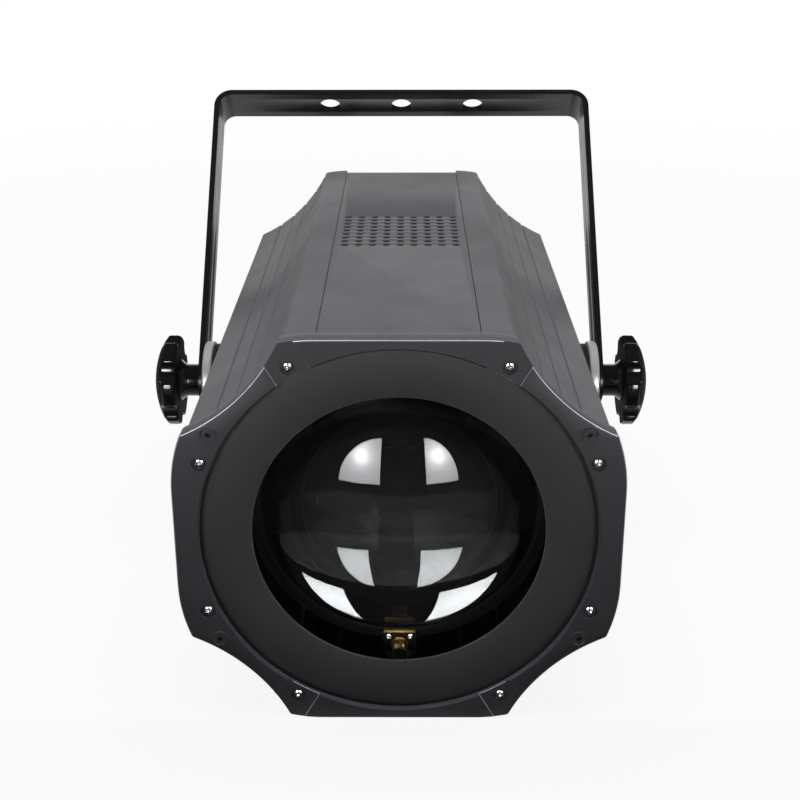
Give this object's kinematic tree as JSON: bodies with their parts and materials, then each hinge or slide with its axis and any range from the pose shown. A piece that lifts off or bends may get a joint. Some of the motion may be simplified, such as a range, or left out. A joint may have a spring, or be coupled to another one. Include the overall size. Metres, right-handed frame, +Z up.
{
  "type": "zoom stage spotlight",
  "caption": "Stage spotlight head in an extruded four-cornered body, with a motor-driven zoom lens, vented top, rear menu and a U-shaped yoke with clamp knobs.",
  "frame": {"origin": "centre of the footprint of the whole part at rest, on the surface that the front ring stands on", "axes": "+Z up, -Y along the beam out of the lens, +X to the right seen from the front"},
  "size_m": [0.3422, 0.4184, 0.2919],
  "materials": {
    "corner_profile_upper_right": "satin dark grey powder coat on extruded aluminium",
    "corner_profile_upper_left": "satin dark grey powder coat on extruded aluminium",
    "corner_profile_lower_right": "satin dark grey powder coat on extruded aluminium",
    "corner_profile_lower_left": "satin dark grey powder coat on extruded aluminium",
    "top_panel": "satin dark grey powder coat on aluminium sheet",
    "bottom_panel": "satin dark grey powder coat on aluminium sheet",
    "side_panel_right": "satin dark grey powder coat on aluminium sheet",
    "side_panel_left": "satin dark grey powder coat on aluminium sheet",
    "rear_panel": "satin dark grey powder coat on steel sheet",
    "front_collar": "satin dark grey coat on cast aluminium",
    "front_bezel": "satin dark slate coat on aluminium plate, bright cut edge at the bore",
    "bezel_screw_1": "bright plated pan head",
    "bezel_screw_2": "bright plated pan head",
    "bezel_screw_3": "bright plated pan head",
    "bezel_screw_4": "bright plated pan head",
    "bezel_screw_5": "bright plated pan head",
    "bezel_screw_6": "bright plated pan head",
    "bezel_screw_7": "bright plated pan head",
    "bezel_screw_8": "bright plated pan head",
    "front_glass": "clear flat glass",
    "front_baffle": "matt black sheet",
    "glass_gasket": "matt black silicone",
    "lens": "polished clear glass",
    "lens_retainer": "matt black ring",
    "lens_carriage": "matt black",
    "lead_nut": "turned brass",
    "slide_bush_right": "sintered bronze",
    "guide_rod_right": "ground bright rod",
    "slide_bush_left": "sintered bronze",
    "guide_rod_left": "ground bright rod",
    "inner_bulkhead": "black coated steel sheet",
    "lead_screw": "rolled thread, oiled",
    "zoom_motor": "black motor can",
    "collimator": "bright spun reflector",
    "led_board": "white board with a phosphor emitter",
    "heat_sink": "mill finish",
    "sink_bracket": "bright zinc plated",
    "power_supply": "folded sheet case",
    "control_board": "green circuit board",
    "display_window": "dark clear window",
    "menu_button_1": "black key cap",
    "menu_button_2": "black key cap",
    "menu_button_3": "black key cap",
    "menu_button_4": "black key cap",
    "power_inlet": "black moulded connector",
    "power_outlet": "black moulded connector",
    "data_inlet": "black moulded connector",
    "data_outlet": "black moulded connector",
    "fan_frame": "black moulded",
    "fan_impeller": "black moulded",
    "yoke": "satin black coat on flat steel bar",
    "friction_spacer_right": "dark friction disc",
    "pressure_disc_right": "zinc plated disc with rounded rims",
    "pivot_stud_right": "plated stud",
    "clamp_knob_right": "gloss black moulded knob",
    "friction_spacer_left": "dark friction disc",
    "pressure_disc_left": "zinc plated disc with rounded rims",
    "pivot_stud_left": "plated stud",
    "clamp_knob_left": "gloss black moulded knob"
  },
  "bodies": {
    "head": {"corner_profile_upper_right": "corner_profile_upper_right", "corner_profile_upper_left": "corner_profile_upper_left", "corner_profile_lower_right": "corner_profile_lower_right", "corner_profile_lower_left": "corner_profile_lower_left", "top_panel": "top_panel", "bottom_panel": "bottom_panel", "side_panel_right": "side_panel_right", "side_panel_left": "side_panel_left", "rear_panel": "rear_panel", "front_collar": "front_collar", "front_bezel": "front_bezel", "bezel_screw_1": "bezel_screw_1", "bezel_screw_2": "bezel_screw_2", "bezel_screw_3": "bezel_screw_3", "bezel_screw_4": "bezel_screw_4", "bezel_screw_5": "bezel_screw_5", "bezel_screw_6": "bezel_screw_6", "bezel_screw_7": "bezel_screw_7", "bezel_screw_8": "bezel_screw_8", "front_glass": "front_glass", "front_baffle": "front_baffle", "glass_gasket": "glass_gasket", "guide_rod_right": "guide_rod_right", "guide_rod_left": "guide_rod_left", "inner_bulkhead": "inner_bulkhead", "zoom_motor": "zoom_motor", "collimator": "collimator", "led_board": "led_board", "heat_sink": "heat_sink", "sink_bracket": "sink_bracket", "power_supply": "power_supply", "control_board": "control_board", "display_window": "display_window", "power_inlet": "power_inlet", "power_outlet": "power_outlet", "data_inlet": "data_inlet", "data_outlet": "data_outlet", "fan_frame": "fan_frame", "friction_spacer_right": "friction_spacer_right", "friction_spacer_left": "friction_spacer_left"},
    "yoke": {"yoke": "yoke", "pressure_disc_right": "pressure_disc_right", "pressure_disc_left": "pressure_disc_left"},
    "right_knob": {"clamp_knob_right": "clamp_knob_right", "pivot_stud_right": "pivot_stud_right"},
    "left_knob": {"clamp_knob_left": "clamp_knob_left", "pivot_stud_left": "pivot_stud_left"},
    "zoom_carriage": {"lens": "lens", "lens_retainer": "lens_retainer", "lens_carriage": "lens_carriage", "lead_nut": "lead_nut", "slide_bush_right": "slide_bush_right", "slide_bush_left": "slide_bush_left"},
    "zoom_screw": {"lead_screw": "lead_screw"},
    "fan_rotor": {"fan_impeller": "fan_impeller"},
    "menu_key_1": {"menu_button_1": "menu_button_1"},
    "menu_key_2": {"menu_button_2": "menu_button_2"},
    "menu_key_3": {"menu_button_3": "menu_button_3"},
    "menu_key_4": {"menu_button_4": "menu_button_4"}
  },
  "joints": [
    {"name": "yoke_tilt", "type": "hinge", "parent": "head", "child": "yoke", "pos_m": [0, 0.0318, 0.113], "axis": [1, 0, 0], "range_deg": [-185, 92]},
    {"name": "right_knob_turn", "type": "hinge", "parent": "head", "child": "right_knob", "pos_m": [0.1406, 0.0318, 0.113], "axis": [1, 0, 0], "range_deg": [0, 720]},
    {"name": "left_knob_turn", "type": "hinge", "parent": "head", "child": "left_knob", "pos_m": [-0.1406, 0.0318, 0.113], "axis": [-1, 0, 0], "range_deg": [0, 720]},
    {"name": "zoom_slide", "type": "slide", "parent": "head", "child": "zoom_carriage", "axis": [0, 1, 0], "range_m": [0, 0.072]},
    {"name": "lead_screw_turn", "type": "hinge", "parent": "head", "child": "zoom_screw", "pos_m": [0, -0.1, 0.026], "axis": [0, 1, 0], "range_deg": [0, 3245]},
    {"name": "fan_spin", "type": "hinge", "parent": "head", "child": "fan_rotor", "pos_m": [0, 0.18, 0.105], "axis": [0, 1, 0], "continuous": true},
    {"name": "menu_key_1_press", "type": "slide", "parent": "head", "child": "menu_key_1", "axis": [0, -1, 0], "range_m": [0, 0.0015], "stiffness_N_per_m": 700, "springref_m": -0.0008},
    {"name": "menu_key_2_press", "type": "slide", "parent": "head", "child": "menu_key_2", "axis": [0, -1, 0], "range_m": [0, 0.0015], "stiffness_N_per_m": 700, "springref_m": -0.0008},
    {"name": "menu_key_3_press", "type": "slide", "parent": "head", "child": "menu_key_3", "axis": [0, -1, 0], "range_m": [0, 0.0015], "stiffness_N_per_m": 700, "springref_m": -0.0008},
    {"name": "menu_key_4_press", "type": "slide", "parent": "head", "child": "menu_key_4", "axis": [0, -1, 0], "range_m": [0, 0.0015], "stiffness_N_per_m": 700, "springref_m": -0.0008}
  ],
  "couplings": [
    {"joint": "lead_screw_turn", "follows": "zoom_slide", "rad_per_m": 785.4}
  ]
}
